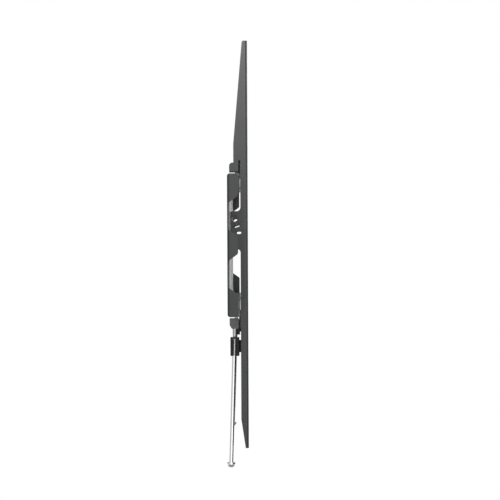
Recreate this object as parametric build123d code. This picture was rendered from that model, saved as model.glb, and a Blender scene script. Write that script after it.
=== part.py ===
from build123d import *
import os
from math import cos, radians, sin, tan, tau

# Fixed wall bracket for a flat TV. The origin is the middle of the wall plate's back face, on the wall.
# X runs along the wall, +Y points into the wall, +Z is up, and the screen hangs on the -Y side.
# Outlines below are given as (distance from the wall, height), in millimetres.

# Wall plate: one folded sheet
plate_length = 700.0
plate_height = 139.8
plate_sheet = 1.8
plate_bend = 1.0
flange_reach = 12.0
flange_corner_depth = 2.5
flange_corner_length = 7.0

# Rails: the middle of each flange, turned up or down into a lip that the arms hang on
rail_length = 396.0
rail_reach = 12.7
lip_height = 18.2

# Tabs folded forward at each end of the wall plate
tab_reach = 10.6
tab_outer_height = 29.4
tab_middle_height = 32.0
tab_slant = 7.6
tab_tip_radius = 3.0

# Holes for the wall screws
wall_slot_length = 32.0
wall_slot_width = 9.0
wall_row_spacing = 104.0
near_slot_spacing = 203.2
far_slot_spacing = 609.6

# Arms: two folded channels
arm_spacing = 400.0
arm_height = 427.0
arm_width = 30.0
arm_sheet = 2.0
arm_bend = 1.0
wall_to_screen = 20.6
arm_top_depth = 5.6
arm_top_taper = 108.2
arm_bottom_depth = 3.3
arm_bottom_taper = 30.3
arm_end_radius = 2.2

# Hook and foot on the webs of each arm
hook_wall_gap = 1.15
hook_height = 9.5
hook_slot_depth = 11.6
hook_radius = 3.6
shoulder_wall_gap = 5.6
lip_clearance = 0.15
web_clearance = 0.1
foot_clearance = 0.4
foot_top = 35.0
foot_bottom = -4.6
foot_radius = 2.0
foot_fillet = 4.0

# Openings in the foot: a round hole, a slot that rises towards the screen and a level slot
top_opening_distance = 6.6
top_opening_height = 27.3
top_opening_diameter = 6.4
middle_opening_distance = 8.6
middle_opening_height = 19.9
middle_opening_length = 7.6
middle_opening_width = 3.6
middle_opening_slant = 18.0
bottom_opening_distance = 10.7
bottom_opening_height = 12.7
bottom_opening_length = 6.0
bottom_opening_width = 3.2

# Screw holes for the screen, as pairs of rows above and below the middle
screen_hole_diameter = 9.0
outer_row_spacing = 400.0
middle_row_spacing = 300.0
inner_row_spacing = 100.0

# Latch behind the lower lip
latch_wall_gap = 0.9
latch_clearance = 0.3
latch_height = 10.6
latch_catch = 9.9
latch_travel = 12.0
latch_stop_gap = 0.5
latch_side_wall = 1.0
latch_chamfer_depth = 2.2
latch_chamfer_height = 3.8

# Pin that the pull rod hangs on
pin_diameter = 2.0
pin_height = 4.0
pin_clearance = 0.02
eye_clearance = 0.08

# Pull rod, leaning in as it hangs loose
rod_diameter = 4.4
rod_reach = 150.8
rod_lean = 1.83
rod_wall_distance = 6.6
rod_bore_clearance = 0.4
rod_top = 2.3
rod_head_diameter = 8.8
rod_head_height = 5.2
rod_head_rim = 1.6

# Moulded guide on each arm
guide_wall_gap = 1.6
guide_depth = 9.5
guide_cheek_rise = 3.8
guide_cheek_thickness = 1.4
guide_cheek_gap = 0.3
guide_window_width = 3.2
guide_window_band = 1.8
guide_height = 16.1
guide_inner_wall = 1.1
guide_far_wall = 1.2
guide_radius = 0.7
guide_tongue_height = 12.3
groove_clearance = 0.4

# Return spring beside the rod
spring_diameter = 4.0
spring_wire = 0.6
spring_turns = 6
spring_bends_per_turn = 12
spring_wire_sides = 6
spring_bore_depth = 11.7
spring_bore_clearance = 0.3

# Rivet that holds the guide
rivet_diameter = 3.2
rivet_head_diameter = 6.0
rivet_head_height = 1.4
rivet_offset = 3.3
rivet_depth = 5.0
rivet_clearance = 0.02

# Places that several pieces share
flange_top = plate_height / 2
lip_top = flange_top + lip_height
lip_bottom = -lip_top
lip_inner = rail_reach - plate_sheet
web_back = rail_reach + web_clearance
plate_outer_bend = plate_sheet + plate_bend
arm_outer_bend = arm_sheet + arm_bend
arm_inner_face = wall_to_screen - arm_sheet
latch_top = lip_bottom + latch_catch
latch_bottom = latch_top - latch_height
guide_top = latch_bottom - latch_travel - latch_stop_gap
guide_bottom = guide_top - guide_height
guide_front = guide_wall_gap + guide_depth
rod_radius = rod_diameter / 2
spring_radius = spring_diameter / 2
well_radius = spring_radius + spring_bore_clearance
spring_offset = rod_radius + groove_clearance + guide_inner_wall + well_radius
latch_near_side = -rod_radius - rod_bore_clearance - latch_side_wall
latch_far_side = spring_offset + spring_radius + latch_side_wall
cheek_inner = latch_near_side - guide_cheek_gap
guide_far = spring_offset + well_radius + guide_far_wall
pivot_height = latch_bottom + pin_height
spring_seat = guide_top - spring_bore_depth
rivet_height = guide_top - guide_tongue_height / 2


def rounded(corners):
    """A flat outline with each corner rounded by its own radius; corners are (across, up, radius)."""
    outline = make_face(Polyline([(across, up) for across, up, radius in corners], close=True))
    for across, up, radius in corners:
        if radius > 0:
            corner = outline.vertices().sort_by_distance((across, up, 0))[0]
            outline = fillet(corner, radius)
    return outline


def side_profile(corners):
    """An outline in the side view, from corners given as (distance from the wall, height, radius)."""
    return Plane.YZ * rounded([(-distance, height, radius) for distance, height, radius in corners])


def along_wall(profile, start, end):
    """A side-view profile drawn out along the wall from one place to another."""
    return Pos(start, 0, 0) * extrude(profile, end - start)


def across_wall(diameter, start, end, along, height):
    """A round bar square to the wall, between two distances from it."""
    middle = (start + end) / 2
    return Pos(along, -middle, height) * Rot(90, 0, 0) * Cylinder(diameter / 2, end - start)


def wall_slot(along, height):
    """A cutter for one slot of the wall plate, with its long side along the wall."""
    outline = SlotOverall(wall_slot_length, wall_slot_width)
    return Pos(along, 0, height) * Rot(90, 0, 0) * extrude(outline, 2 * plate_sheet, both=True)


def wall_plate():
    """Back panel, flanges, rails and end tabs, folded from one sheet."""
    inside = flange_top - plate_sheet
    channel = side_profile([
        (flange_reach, flange_top, 0),
        (0, flange_top, plate_outer_bend),
        (0, -flange_top, plate_outer_bend),
        (flange_reach, -flange_top, 0),
        (flange_reach, -inside, 0),
        (plate_sheet, -inside, plate_bend),
        (plate_sheet, inside, plate_bend),
        (flange_reach, inside, 0),
    ])
    rails = side_profile([
        (rail_reach, lip_top, 0),
        (lip_inner, lip_top, 0),
        (lip_inner, flange_top, plate_bend),
        (0, flange_top, plate_outer_bend),
        (0, -flange_top, plate_outer_bend),
        (lip_inner, -flange_top, plate_bend),
        (lip_inner, -lip_top, 0),
        (rail_reach, -lip_top, 0),
        (rail_reach, -inside, plate_outer_bend),
        (plate_sheet, -inside, plate_bend),
        (plate_sheet, inside, plate_bend),
        (rail_reach, inside, plate_outer_bend),
    ])
    fold_start = plate_length / 2 - plate_outer_bend
    plate = along_wall(channel, -fold_start, fold_start)
    for end in (-1, 1):
        plate -= flange_corner(end, fold_start)
    plate += along_wall(rails, -rail_length / 2, rail_length / 2)
    for end in (-1, 1):
        plate += end_tabs(end, fold_start)
    for height in (-wall_row_spacing / 2, wall_row_spacing / 2):
        plate -= across_wall(wall_slot_width, -plate_sheet, 2 * plate_sheet, 0, height)
        for spacing in (near_slot_spacing, far_slot_spacing):
            plate -= wall_slot(-spacing / 2, height)
            plate -= wall_slot(spacing / 2, height)
    return plate


def flange_corner(end, fold_start):
    """A cutter that slants off the flanges' corners at one end, clear of the tabs."""
    corner = make_face(Polyline(
        (end * fold_start, flange_corner_depth - flange_reach),
        (end * fold_start, -flange_reach),
        (end * (fold_start - flange_corner_length), -flange_reach),
        close=True))
    return extrude(corner, plate_height, both=True)


def end_tabs(end, fold_start):
    """The three tabs at one end of the plate: a folded strip trimmed to the tabs' slanted outlines."""
    tip = plate_length / 2
    strip_corners = [
        (end * fold_start, 0, 0),
        (end * tip, 0, plate_outer_bend),
        (end * tip, -tab_reach, 0),
        (end * (tip - plate_sheet), -tab_reach, 0),
        (end * (tip - plate_sheet), -plate_sheet, plate_bend),
        (end * fold_start, -plate_sheet, 0),
    ]
    strip = extrude(rounded(strip_corners), flange_top, both=True)
    root = flange_top - tab_outer_height
    middle = tab_middle_height / 2
    upper_tab = [
        (0, flange_top, plate_outer_bend),
        (tab_reach, flange_top, tab_tip_radius),
        (tab_reach, root + tab_slant, tab_tip_radius),
        (0, root, 0),
    ]
    middle_tab = [
        (0, middle, 0),
        (tab_reach, middle - tab_slant, tab_tip_radius),
        (tab_reach, tab_slant - middle, tab_tip_radius),
        (0, -middle, 0),
    ]
    lower_tab = [(distance, -height, radius) for distance, height, radius in upper_tab]
    outline = side_profile(upper_tab) + side_profile(middle_tab) + side_profile(lower_tab)
    return strip & extrude(outline, plate_length, both=True)


def arm_outline():
    """Side view of an arm: tapered ends, the hook over the upper lip and the foot on the panel."""
    top = arm_height / 2
    hook_bottom = lip_top - hook_slot_depth
    hook_top = hook_bottom + hook_height
    foot_back = plate_sheet + foot_clearance
    return side_profile([
        (wall_to_screen, top, 0),
        (wall_to_screen - arm_top_depth, top, arm_end_radius),
        (shoulder_wall_gap, top - arm_top_taper, 0),
        (shoulder_wall_gap, hook_top, 0),
        (hook_wall_gap, hook_top, hook_radius),
        (hook_wall_gap, hook_bottom, 0),
        (lip_inner - lip_clearance, hook_bottom, 0),
        (lip_inner - lip_clearance, lip_top, 0),
        (web_back, lip_top, 0),
        (web_back, foot_top, foot_fillet),
        (foot_back, foot_top, foot_radius),
        (foot_back, foot_bottom, foot_radius),
        (web_back, foot_bottom, foot_fillet),
        (web_back, arm_bottom_taper - top, 0),
        (wall_to_screen - arm_bottom_depth, -top, 0),
        (wall_to_screen, -top, 0),
    ])


def arm():
    """One folded channel with its screen holes, foot openings and the countersunk rivet hole."""
    side = arm_width / 2
    inside = side - arm_sheet
    channel = rounded([
        (-side, -hook_wall_gap, 0),
        (-side, -wall_to_screen, arm_outer_bend),
        (side, -wall_to_screen, arm_outer_bend),
        (side, -hook_wall_gap, 0),
        (inside, -hook_wall_gap, 0),
        (inside, -arm_inner_face, arm_bend),
        (-inside, -arm_inner_face, arm_bend),
        (-inside, -hook_wall_gap, 0),
    ])
    body = extrude(channel, arm_height / 2, both=True) & extrude(arm_outline(), arm_width, both=True)
    top_shape = Circle(top_opening_diameter / 2)
    middle_shape = Rot(0, 0, -middle_opening_slant) * SlotOverall(middle_opening_length, middle_opening_width)
    bottom_shape = SlotOverall(bottom_opening_length, bottom_opening_width)
    body -= foot_opening(top_shape, top_opening_distance, top_opening_height)
    body -= foot_opening(middle_shape, middle_opening_distance, middle_opening_height)
    body -= foot_opening(bottom_shape, bottom_opening_distance, bottom_opening_height)
    for spacing in (outer_row_spacing, middle_row_spacing, inner_row_spacing):
        for height in (-spacing / 2, spacing / 2):
            body -= across_wall(screen_hole_diameter, arm_inner_face, wall_to_screen + arm_sheet, 0, height)
    return body - rivet(rivet_clearance)


def foot_opening(shape, distance, height):
    """A cutter for one opening through the feet of both webs."""
    outline = Plane.YZ * Pos(-distance, height) * shape
    return extrude(outline, arm_width, both=True)


def rivet(clearance):
    """Flush rivet from the screen side of an arm into the guide, grown by a clearance for its hole."""
    shank_end = arm_inner_face - rivet_depth - clearance
    head_back = wall_to_screen - rivet_head_height - clearance
    shank = across_wall(rivet_diameter + 2 * clearance, shank_end, head_back, rivet_offset, rivet_height)
    shank_radius = rivet_diameter / 2 + clearance
    head_radius = rivet_head_diameter / 2 + clearance
    head_middle = (head_back + wall_to_screen) / 2
    head = Cone(shank_radius, head_radius, wall_to_screen - head_back)
    return shank + Pos(rivet_offset, -head_middle, rivet_height) * Rot(90, 0, 0) * head


def latch():
    """Steel catch behind the lower lip, bored from below for the rod and cross-drilled for its pin."""
    front = lip_inner - latch_clearance
    profile = side_profile([
        (latch_wall_gap, latch_top, 0),
        (front, latch_top, 0),
        (front, latch_bottom, 0),
        (latch_wall_gap + latch_chamfer_depth, latch_bottom, 0),
        (latch_wall_gap, latch_bottom + latch_chamfer_height, 0),
    ])
    body = along_wall(profile, latch_near_side, latch_far_side)
    bore_height = pin_height + rod_top + rod_bore_clearance
    bore = Cylinder(rod_radius + rod_bore_clearance, 2 * bore_height)
    body -= Pos(0, -rod_wall_distance, latch_bottom) * bore
    return body - latch_pin(pin_clearance)


def latch_pin(clearance):
    """Cross pin through the latch, grown by a clearance for its hole."""
    middle = (latch_near_side + latch_far_side) / 2
    bar = Cylinder(pin_diameter / 2 + clearance, latch_far_side - latch_near_side)
    return Pos(middle, -rod_wall_distance, pivot_height) * Rot(0, 90, 0) * bar


def pull_rod():
    """Turned rod with an eye at its top and a domed head to pull, leaning in at its foot."""
    head_radius = rod_head_diameter / 2
    head_start = rod_head_height - rod_reach
    rim_end = head_start - rod_head_rim
    outline = make_face([
        Polyline((0, rod_top), (rod_radius, rod_top), (rod_radius, head_start), (head_radius, head_start)),
        Line((head_radius, head_start), (head_radius, rim_end)),
        TangentArc((0, -rod_reach), (head_radius, rim_end), tangent=(1, 0)),
        Line((0, -rod_reach), (0, rod_top)),
    ])
    body = revolve(Plane.XZ * outline, Axis.Z)
    eye = Cylinder(pin_diameter / 2 + eye_clearance, 2 * rod_diameter)
    body -= Rot(0, 90, 0) * eye
    return Pos(0, -rod_wall_distance, pivot_height) * Rot(rod_lean, 0, 0) * body


def latch_guide():
    """Moulded block with a groove for the rod, a cheek that keeps it in, a spring well and a tongue."""
    swing = (pivot_height - guide_bottom) * tan(radians(rod_lean))
    groove_back = rod_wall_distance - swing - rod_radius - groove_clearance
    groove_front = rod_wall_distance + rod_radius + groove_clearance
    cheek_outer = cheek_inner - guide_cheek_thickness
    cheek_top = guide_top + guide_cheek_rise
    block = along_wall(guide_side(guide_top), cheek_inner, guide_far)
    tongue = side_profile([
        (guide_wall_gap + guide_radius, guide_top, 0),
        (arm_inner_face, guide_top, 0),
        (arm_inner_face, guide_top - guide_tongue_height, 0),
        (guide_wall_gap + guide_radius, guide_top - guide_tongue_height, 0),
    ])
    block += along_wall(tongue, cheek_inner, guide_far)
    groove = side_profile([
        (groove_back, cheek_top, 0),
        (groove_front, cheek_top, 0),
        (groove_front, guide_bottom - guide_cheek_rise, 0),
        (groove_back, guide_bottom - guide_cheek_rise, 0),
    ])
    block -= along_wall(groove, cheek_inner - guide_cheek_thickness, rod_radius + groove_clearance)
    window_middle = rod_wall_distance - swing / 2
    window = side_profile([
        (window_middle - guide_window_width / 2, cheek_top - guide_window_band, 0),
        (window_middle + guide_window_width / 2, cheek_top - guide_window_band, 0),
        (window_middle + guide_window_width / 2, guide_bottom - guide_cheek_rise, 0),
        (window_middle - guide_window_width / 2, guide_bottom - guide_cheek_rise, 0),
    ])
    cheek = along_wall(guide_side(cheek_top), cheek_outer, cheek_inner)
    block += cheek - along_wall(window, cheek_outer - guide_cheek_thickness, guide_far)
    well = Cylinder(well_radius, 2 * spring_bore_depth)
    block -= Pos(spring_offset, -rod_wall_distance, guide_top) * well
    return block - rivet(rivet_clearance)


def guide_side(top):
    """Side view of the guide's block up to a height, with its moulded corners."""
    return side_profile([
        (guide_wall_gap, top, guide_radius),
        (guide_front, top, guide_radius),
        (guide_front, guide_bottom, guide_radius),
        (guide_wall_gap, guide_bottom, guide_radius),
    ])


def latch_spring():
    """Compression spring in the guide's well that pushes the latch up, bent in short straight lengths."""
    wire_radius = spring_wire / 2
    coil_radius = spring_radius - wire_radius
    height = latch_bottom - spring_seat - spring_wire
    bends = spring_turns * spring_bends_per_turn
    points = []
    for bend in range(bends + 1):
        angle = tau * bend / spring_bends_per_turn
        points.append((coil_radius * cos(angle), coil_radius * sin(angle), height * bend / bends))
    path = Polyline(points)
    section = Plane(origin=path @ 0, z_dir=path % 0) * RegularPolygon(wire_radius, spring_wire_sides)
    coil = sweep(section, path, transition=Transition.RIGHT)
    return Pos(spring_offset, -rod_wall_distance, spring_seat + wire_radius) * coil


os.makedirs("parts", exist_ok=True)
export_step(wall_plate(), "parts/wall_plate.step")
for side_name, place in (("left", -arm_spacing / 2), ("right", arm_spacing / 2)):
    here = Pos(place, 0, 0)
    export_step(here * arm(), f"parts/arm_{side_name}.step")
    export_step(here * latch(), f"parts/latch_{side_name}.step")
    export_step(here * latch_pin(0), f"parts/latch_pin_{side_name}.step")
    export_step(here * pull_rod(), f"parts/pull_rod_{side_name}.step")
    export_step(here * latch_guide(), f"parts/latch_guide_{side_name}.step")
    export_step(here * latch_spring(), f"parts/latch_spring_{side_name}.step")
    export_step(here * rivet(0), f"parts/guide_rivet_{side_name}.step")
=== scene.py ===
from math import radians

import bmesh
import bpy
from mathutils import Euler, Matrix, Vector


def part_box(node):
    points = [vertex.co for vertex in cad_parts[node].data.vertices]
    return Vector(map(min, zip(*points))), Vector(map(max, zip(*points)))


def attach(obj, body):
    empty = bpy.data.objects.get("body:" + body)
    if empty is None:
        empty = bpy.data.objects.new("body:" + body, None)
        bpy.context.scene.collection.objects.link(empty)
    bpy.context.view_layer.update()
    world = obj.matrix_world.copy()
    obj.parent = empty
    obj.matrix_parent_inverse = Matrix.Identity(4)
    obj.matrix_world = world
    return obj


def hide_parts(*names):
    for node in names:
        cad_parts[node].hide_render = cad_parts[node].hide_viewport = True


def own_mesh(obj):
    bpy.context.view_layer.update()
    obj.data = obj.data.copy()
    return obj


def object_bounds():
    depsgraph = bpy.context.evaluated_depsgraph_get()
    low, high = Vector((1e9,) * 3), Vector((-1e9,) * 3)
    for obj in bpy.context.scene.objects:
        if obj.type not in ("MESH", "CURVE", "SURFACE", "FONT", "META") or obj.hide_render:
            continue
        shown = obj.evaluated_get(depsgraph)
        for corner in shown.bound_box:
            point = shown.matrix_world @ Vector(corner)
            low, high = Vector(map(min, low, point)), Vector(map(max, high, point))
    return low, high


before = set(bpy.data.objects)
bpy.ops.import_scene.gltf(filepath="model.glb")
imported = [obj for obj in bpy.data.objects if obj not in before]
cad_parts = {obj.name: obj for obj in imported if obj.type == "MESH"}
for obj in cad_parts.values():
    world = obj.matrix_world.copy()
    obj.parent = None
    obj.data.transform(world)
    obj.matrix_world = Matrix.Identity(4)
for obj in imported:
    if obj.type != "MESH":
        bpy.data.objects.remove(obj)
cad_low, cad_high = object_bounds()


# Wall plate
# One blank of steel sheet, punched with screw slots and folded into a shallow tray with rails and end tabs.
# It is powder-coated satin black after folding, so the coat rounds every edge a little.
def surface_grain():
    """Node group for an uneven surface: fine grain for the bump and broad patches for colour and gloss."""
    group = bpy.data.node_groups.new("surface_grain", "ShaderNodeTree")
    for name, default in (("Grains per metre", 1500.0), ("Patches per metre", 30.0)):
        socket = group.interface.new_socket(name, in_out="INPUT", socket_type="NodeSocketFloat")
        socket.default_value = default
    for name in ("Grain", "Patches"):
        group.interface.new_socket(name, in_out="OUTPUT", socket_type="NodeSocketFloat")
    entry = group.nodes.new("NodeGroupInput")
    result = group.nodes.new("NodeGroupOutput")
    place = group.nodes.new("ShaderNodeTexCoord")
    for scale_name, detail, output_name in (
            ("Grains per metre", 1.5, "Grain"), ("Patches per metre", 3.0, "Patches")):
        noise = group.nodes.new("ShaderNodeTexNoise")
        noise.inputs["Detail"].default_value = detail
        group.links.new(place.outputs["Object"], noise.inputs["Vector"])
        group.links.new(entry.outputs[scale_name], noise.inputs["Scale"])
        group.links.new(noise.outputs["Fac"], result.inputs[output_name])
    return group


def grained_material(name, darker, lighter, smoother, rougher, grains, patches, bump_height, edge_radius):
    """A material whose colour and gloss wander between two values, with a fine grain and softened edges."""
    material = bpy.data.materials.new(name)
    material.use_nodes = True
    tree = material.node_tree
    shader = tree.nodes["Principled BSDF"]
    grain = tree.nodes.new("ShaderNodeGroup")
    grain.node_tree = bpy.data.node_groups["surface_grain"]
    grain.inputs["Grains per metre"].default_value = grains
    grain.inputs["Patches per metre"].default_value = patches
    tint = tree.nodes.new("ShaderNodeMix")
    tint.name = "tint"
    tint.data_type = "RGBA"
    tint.inputs["A"].default_value = (*darker, 1.0)
    tint.inputs["B"].default_value = (*lighter, 1.0)
    gloss = tree.nodes.new("ShaderNodeMapRange")
    gloss.name = "gloss"
    gloss.inputs["To Min"].default_value = smoother
    gloss.inputs["To Max"].default_value = rougher
    soft_edge = tree.nodes.new("ShaderNodeBevel")
    soft_edge.inputs["Radius"].default_value = edge_radius
    relief = tree.nodes.new("ShaderNodeBump")
    relief.inputs["Distance"].default_value = bump_height
    tree.links.new(grain.outputs["Patches"], tint.inputs["Factor"])
    tree.links.new(grain.outputs["Patches"], gloss.inputs["Value"])
    tree.links.new(grain.outputs["Grain"], relief.inputs["Height"])
    tree.links.new(soft_edge.outputs["Normal"], relief.inputs["Normal"])
    tree.links.new(tint.outputs["Result"], shader.inputs["Base Color"])
    tree.links.new(gloss.outputs["Result"], shader.inputs["Roughness"])
    tree.links.new(relief.outputs["Normal"], shader.inputs["Normal"])
    return material


def finish_node(name, material):
    """Gives a CAD node its finish."""
    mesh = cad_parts[name].data
    mesh.materials.clear()
    mesh.materials.append(material)


surface_grain()
plate_coat = grained_material(
    "plate_powder_coat", darker=(0.033, 0.034, 0.035), lighter=(0.042, 0.043, 0.044),
    smoother=0.24, rougher=0.32, grains=1500.0, patches=30.0, bump_height=0.00003, edge_radius=0.0003)
finish_node("wall_plate", plate_coat)


# Arms
# Two alike channels of steel sheet, cut with hook and foot on both webs and folded along the screen side.
# Their satin black coat is a little duller than the plate's, and they hang by their hooks on its upper rail.
arm_coat = grained_material(
    "arm_powder_coat", darker=(0.033, 0.034, 0.035), lighter=(0.042, 0.043, 0.044),
    smoother=0.36, rougher=0.46, grains=1500.0, patches=24.0, bump_height=0.00003, edge_radius=0.0003)
for arm in ("arm_left", "arm_right"):
    finish_node(arm, arm_coat)


# Latches and their pins
# Milled steel blocks that catch behind the lower rail, each with a cross pin that its pull rod hangs on.
# They are zinc-plated and passivated dark, duller and greyer than the coated sheet.
latch_plating = grained_material(
    "latch_dark_zinc", darker=(0.12, 0.121, 0.123), lighter=(0.17, 0.171, 0.175),
    smoother=0.34, rougher=0.52, grains=2600.0, patches=160.0, bump_height=0.00002, edge_radius=0.0005)
latch_plating.node_tree.nodes["Principled BSDF"].inputs["Metallic"].default_value = 0.5
for side in ("left", "right"):
    finish_node(f"latch_{side}", latch_plating)
    finish_node(f"latch_pin_{side}", latch_plating)


# Latch springs
# Small compression springs, six turns of drawn steel wire each, that push the latches up.
# Each stands in its guide's well and is pressed together as its latch comes down.
wire_diameter = 0.0006
wire_sides = 12
spring_turns = 6
steps_per_turn = 24
spring_wire = grained_material(
    "drawn_spring_wire", darker=(0.42, 0.42, 0.43), lighter=(0.56, 0.56, 0.57),
    smoother=0.22, rougher=0.36, grains=5200.0, patches=400.0, bump_height=0.00001, edge_radius=0.0002)
spring_wire.node_tree.nodes["Principled BSDF"].inputs["Metallic"].default_value = 1.0
for side in ("left", "right"):
    seat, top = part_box(f"latch_spring_{side}")
    middle = (seat + top) / 2
    coil_radius = (top.x - seat.x - wire_diameter) / 2
    spring_length = top.z - seat.z
    steps = spring_turns * steps_per_turn
    rise_per_step = (spring_length - wire_diameter) / steps
    coil = bmesh.new()
    bmesh.ops.create_circle(coil, segments=wire_sides, radius=wire_diameter / 2)
    bmesh.ops.rotate(coil, verts=coil.verts, matrix=Matrix.Rotation(radians(90.0), 3, "X"))
    wire_start = (middle.x + coil_radius, middle.y, seat.z + wire_diameter / 2)
    bmesh.ops.translate(coil, verts=coil.verts, vec=wire_start)
    bmesh.ops.spin(
        coil, geom=coil.verts[:] + coil.edges[:], cent=(middle.x, middle.y, seat.z), axis=(0.0, 0.0, 1.0),
        dvec=(0.0, 0.0, rise_per_step), angle=radians(360.0 * spring_turns), steps=steps)
    bmesh.ops.holes_fill(coil, edges=[edge for edge in coil.edges if edge.is_boundary], sides=wire_sides)
    bmesh.ops.recalc_face_normals(coil, faces=coil.faces)
    for face in coil.faces:
        face.smooth = len(face.verts) == 4
    coil_mesh = bpy.data.meshes.new(f"wound_spring_{side}")
    coil.to_mesh(coil_mesh)
    coil.free()
    coil_mesh.materials.append(spring_wire)
    spring = bpy.data.objects.new(f"wound_spring_{side}", coil_mesh)
    bpy.context.scene.collection.objects.link(spring)
    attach(spring, "bracket")
    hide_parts(f"latch_spring_{side}")
    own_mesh(spring)


# Latch guides
# Blocks of black nylon, moulded with a groove for the rod, a well for the spring and a tongue into the arm.
# The mould is spark-eroded, which leaves an even, fine matt grain.
guide_nylon = grained_material(
    "guide_moulded_nylon", darker=(0.008, 0.008, 0.009), lighter=(0.013, 0.013, 0.014),
    smoother=0.46, rougher=0.60, grains=3600.0, patches=120.0, bump_height=0.00003, edge_radius=0.0009)
guide_nylon.node_tree.nodes["Principled BSDF"].inputs["Specular IOR Level"].default_value = 0.35
for side in ("left", "right"):
    finish_node(f"latch_guide_{side}", guide_nylon)


# Guide rivets
# Flush steel rivets that fix each guide to the face of its arm, coated black with the arm.
for side in ("left", "right"):
    finish_node(f"guide_rivet_{side}", arm_coat)


# Pull rods
# Turned steel rods with a domed head to pull, chrome-plated below the guide and a darker, rougher grey above
# it.
# Each hangs on its latch's pin, so its foot leans a little towards the wall.
# Above this height the rod's base colour turns a darker grey and its roughness higher, blended over 2 mm.
darker_part_start_height = -0.1175
tone_blend_width = 0.001
rod_chrome = grained_material(
    "rod_chrome_plate", darker=(0.90, 0.90, 0.91), lighter=(0.94, 0.94, 0.95),
    smoother=0.10, rougher=0.15, grains=900.0, patches=60.0, bump_height=0.0000003, edge_radius=0.00001)
rod_tree = rod_chrome.node_tree
rod_shader = rod_tree.nodes["Principled BSDF"]
rod_shader.inputs["Metallic"].default_value = 1.0
rod_place = rod_tree.nodes.new("ShaderNodeTexCoord")
rod_height = rod_tree.nodes.new("ShaderNodeSeparateXYZ")
upper_part_share = rod_tree.nodes.new("ShaderNodeMapRange")
upper_part_share.inputs["From Min"].default_value = darker_part_start_height - tone_blend_width
upper_part_share.inputs["From Max"].default_value = darker_part_start_height + tone_blend_width
upper_darker_tone = rod_tree.nodes.new("ShaderNodeMix")
upper_darker_tone.data_type = "RGBA"
upper_darker_tone.inputs["B"].default_value = (0.60, 0.60, 0.61, 1.0)
upper_rougher_gloss = rod_tree.nodes.new("ShaderNodeMix")
upper_rougher_gloss.inputs["B"].default_value = 0.45
rod_tree.links.new(rod_place.outputs["Object"], rod_height.inputs["Vector"])
rod_tree.links.new(rod_height.outputs["Z"], upper_part_share.inputs["Value"])
rod_tree.links.new(upper_part_share.outputs["Result"], upper_darker_tone.inputs["Factor"])
rod_tree.links.new(rod_tree.nodes["tint"].outputs["Result"], upper_darker_tone.inputs["A"])
rod_tree.links.new(upper_darker_tone.outputs["Result"], rod_shader.inputs["Base Color"])
rod_tree.links.new(upper_part_share.outputs["Result"], upper_rougher_gloss.inputs["Factor"])
rod_tree.links.new(rod_tree.nodes["gloss"].outputs["Result"], upper_rougher_gloss.inputs["A"])
rod_tree.links.new(upper_rougher_gloss.outputs["Result"], rod_shader.inputs["Roughness"])
for side in ("left", "right"):
    finish_node(f"pull_rod_{side}", rod_chrome)


# Floor and background
# A wide pale floor well below the bracket and an even white surround, white to the eye and in reflections.
def seen_directly(tree):
    """A value that is 1 for what the eye sees straight, in a mirror or through glass, and 0 otherwise."""
    rays = tree.nodes.new("ShaderNodeLightPath")
    camera_or_mirror = tree.nodes.new("ShaderNodeMath")
    camera_or_mirror.operation = "MAXIMUM"
    tree.links.new(rays.outputs["Is Camera Ray"], camera_or_mirror.inputs[0])
    tree.links.new(rays.outputs["Is Glossy Ray"], camera_or_mirror.inputs[1])
    any_direct = tree.nodes.new("ShaderNodeMath")
    any_direct.operation = "MAXIMUM"
    tree.links.new(camera_or_mirror.outputs["Value"], any_direct.inputs[0])
    tree.links.new(rays.outputs["Is Transmission Ray"], any_direct.inputs[1])
    return any_direct.outputs["Value"]


floor_drop = 0.35
floor_half_side = 8.0
floor_shape = bmesh.new()
bmesh.ops.create_grid(floor_shape, x_segments=1, y_segments=1, size=floor_half_side)
bmesh.ops.translate(floor_shape, verts=floor_shape.verts, vec=(0.0, 0.0, cad_low.z - floor_drop))
floor_mesh = bpy.data.meshes.new("floor")
floor_shape.to_mesh(floor_mesh)
floor_shape.free()
floor = bpy.data.objects.new("floor", floor_mesh)
bpy.context.scene.collection.objects.link(floor)

floor_paint = bpy.data.materials.new("floor_white")
floor_paint.use_nodes = True
floor_tree = floor_paint.node_tree
floor_shader = floor_tree.nodes["Principled BSDF"]
floor_shader.inputs["Base Color"].default_value = (0.8, 0.8, 0.8, 1.0)
floor_shader.inputs["Roughness"].default_value = 0.9
floor_glow = floor_tree.nodes.new("ShaderNodeEmission")
floor_glow.inputs["Color"].default_value = (1.0, 1.0, 1.0, 1.0)
floor_mix = floor_tree.nodes.new("ShaderNodeMixShader")
floor_tree.links.new(seen_directly(floor_tree), floor_mix.inputs["Fac"])
floor_tree.links.new(floor_shader.outputs["BSDF"], floor_mix.inputs[1])
floor_tree.links.new(floor_glow.outputs["Emission"], floor_mix.inputs[2])
floor_tree.links.new(floor_mix.outputs["Shader"], floor_tree.nodes["Material Output"].inputs["Surface"])
floor_mesh.materials.append(floor_paint)

surround = bpy.data.worlds.new("white_surround")
bpy.context.scene.world = surround
surround.use_nodes = True
surround_tree = surround.node_tree
soft_fill = surround_tree.nodes["Background"]
soft_fill.inputs["Color"].default_value = (1.0, 1.0, 1.0, 1.0)
soft_fill.inputs["Strength"].default_value = 0.2
white_seen = surround_tree.nodes.new("ShaderNodeBackground")
white_seen.inputs["Color"].default_value = (1.0, 1.0, 1.0, 1.0)
white_seen.inputs["Strength"].default_value = 1.0
surround_mix = surround_tree.nodes.new("ShaderNodeMixShader")
surround_tree.links.new(seen_directly(surround_tree), surround_mix.inputs["Fac"])
surround_tree.links.new(soft_fill.outputs["Background"], surround_mix.inputs[1])
surround_tree.links.new(white_seen.outputs["Background"], surround_mix.inputs[2])
surround_tree.links.new(surround_mix.outputs["Shader"], surround_tree.nodes["World Output"].inputs["Surface"])


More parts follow.
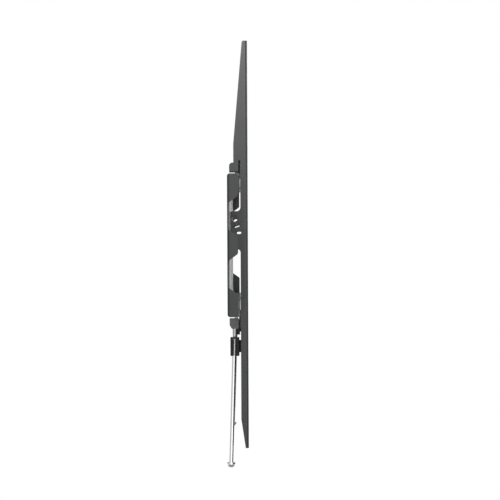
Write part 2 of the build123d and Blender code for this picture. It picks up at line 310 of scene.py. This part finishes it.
# Reflection cards
# Flat studio cards that only shiny surfaces see: dark ones for the folded edges, greyer ones for the chrome
# and two bright ones that draw a line along the bend of the arm.
# Two narrow ones past the plate's far end dim the inner sides of its flanges.
def upright(start, end, bottom, top):
    """Corners of an upright card between two places on the floor plan."""
    return [(*start, bottom), (*end, bottom), (*end, top), (*start, top)]


def reflection_card(name, brightness, corners):
    """A card with an even brightness of its own that shows in reflections alone."""
    shape = bmesh.new()
    shape.faces.new([shape.verts.new(corner) for corner in corners])
    mesh = bpy.data.meshes.new(name)
    shape.to_mesh(mesh)
    shape.free()
    card = bpy.data.objects.new(name, mesh)
    bpy.context.scene.collection.objects.link(card)
    card.visible_camera = False
    card.visible_diffuse = False
    card.visible_shadow = False
    paint = bpy.data.materials.new(name)
    paint.use_nodes = True
    glow = paint.node_tree.nodes.new("ShaderNodeEmission")
    glow.inputs["Strength"].default_value = brightness
    output = paint.node_tree.nodes["Material Output"]
    paint.node_tree.links.new(glow.outputs["Emission"], output.inputs["Surface"])
    mesh.materials.append(paint)


reflection_card("screen_side_card", 0.12, upright(
    start=(-1.3, -0.7), end=(0.6, -0.7), bottom=-1.0, top=1.0))
reflection_card("front_side_card", 1.7, upright(
    start=(-1.9, -0.32), end=(-1.3, -0.69), bottom=-1.0, top=1.0))
reflection_card("screen_side_lower_card", 2.8, upright(
    start=(-1.3, -0.69), end=(-0.7, -0.69), bottom=-0.3, top=-0.1))
reflection_card("wall_side_upper_card", 0.01, upright(
    start=(-1.0, 0.7), end=(0.6, 0.7), bottom=-0.06, top=1.0))
reflection_card("wall_side_lower_card", 0.5, upright(
    start=(-1.0, 0.7), end=(0.6, 0.7), bottom=-1.0, top=-0.06))
reflection_card("under_card", 0.3, [
    (-0.7, -0.3, -0.45), (0.3, -0.3, -0.45), (0.3, 0.3, -0.45), (-0.7, 0.3, -0.45)])
reflection_card("far_upper_card", 0.2, upright(
    start=(1.2, -0.06), end=(1.2, 0.06), bottom=0.02, top=0.6))
reflection_card("far_lower_card", 0.2, upright(
    start=(1.2, -0.06), end=(1.2, 0.06), bottom=-0.6, top=-0.02))


# Studio lamps
# A soft box above and in front of the arm's upper end, and a weaker one below that lifts its lower end.
# Two wide ones at the far side light the screen side and the wall side evenly.
def soft_box(name, place, aim, width, height, watts):
    """A flat area lamp turned towards a point of the bracket."""
    lamp = bpy.data.lights.new(name, "AREA")
    lamp.shape = "RECTANGLE"
    lamp.size = width
    lamp.size_y = height
    lamp.energy = watts
    box = bpy.data.objects.new(name, lamp)
    bpy.context.scene.collection.objects.link(box)
    box.location = place
    box.rotation_euler = (Vector(aim) - Vector(place)).to_track_quat("-Z", "Y").to_euler()


soft_box("key_box", place=(-0.66, -0.09, 0.45), aim=(-0.2, 0.0, 0.05), width=0.25, height=0.25, watts=3.9)
soft_box("low_box", place=(-1.3, -0.25, -0.55), aim=(-0.2, 0.0, -0.15), width=0.3, height=0.3, watts=0.8)
soft_box("screen_side_box", place=(0.9, -1.4, 0.7), aim=(0.0, 0.0, 0.0), width=0.8, height=0.8, watts=20.0)
soft_box("wall_side_box", place=(0.9, 1.4, 0.7), aim=(0.0, 0.0, 0.0), width=0.8, height=0.8, watts=25.0)


# Camera
# It looks along the wall from the plate's left end, a little above its middle, with a long lens.
camera_data = bpy.data.cameras.new("camera")
camera_data.sensor_width = 36.0
camera_data.lens = 126.6
camera_data.clip_start = 0.01
camera_data.clip_end = 50.0
camera = bpy.data.objects.new("camera", camera_data)
bpy.context.scene.collection.objects.link(camera)
camera_place = Vector((-2.057, -0.0153, 0.0091))
camera_down = radians(0.462)
camera_to_screen_side = radians(0.23)
camera_roll = radians(-0.27)
camera_aim = Euler((radians(90.0) - camera_down, 0.0, -radians(90.0) - camera_to_screen_side))
camera.matrix_world = (
    Matrix.Translation(camera_place) @ camera_aim.to_matrix().to_4x4() @ Matrix.Rotation(camera_roll, 4, "Z"))
bpy.context.scene.camera = camera
bpy.context.scene.view_settings.view_transform = "Standard"
